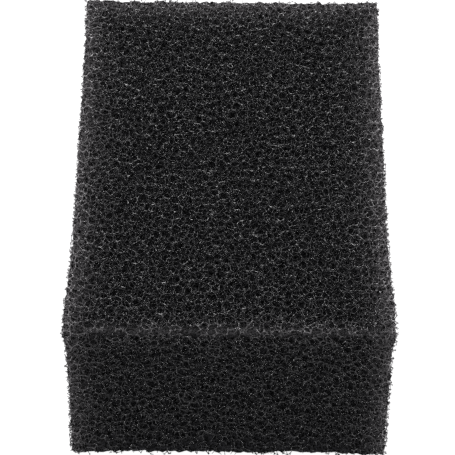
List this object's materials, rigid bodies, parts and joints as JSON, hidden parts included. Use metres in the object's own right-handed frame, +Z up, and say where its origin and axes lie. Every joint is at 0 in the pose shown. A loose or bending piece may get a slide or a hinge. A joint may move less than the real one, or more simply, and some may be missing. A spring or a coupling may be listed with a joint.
{
  "type": "filter sponge",
  "caption": "Rectangular block of black open-cell filter foam, a replacement sponge that strains and biologically filters aquarium or pond water.",
  "frame": {"origin": "middle of the block's underside, on the surface that it lies on", "axes": "+X across the block's width, +Y along its length, +Z up through its thickness"},
  "size_m": [0.1, 0.15, 0.06],
  "materials": {
    "foam": "matte"
  },
  "bodies": {
    "root": {"foam_block": "foam"}
  },
  "joints": []
}
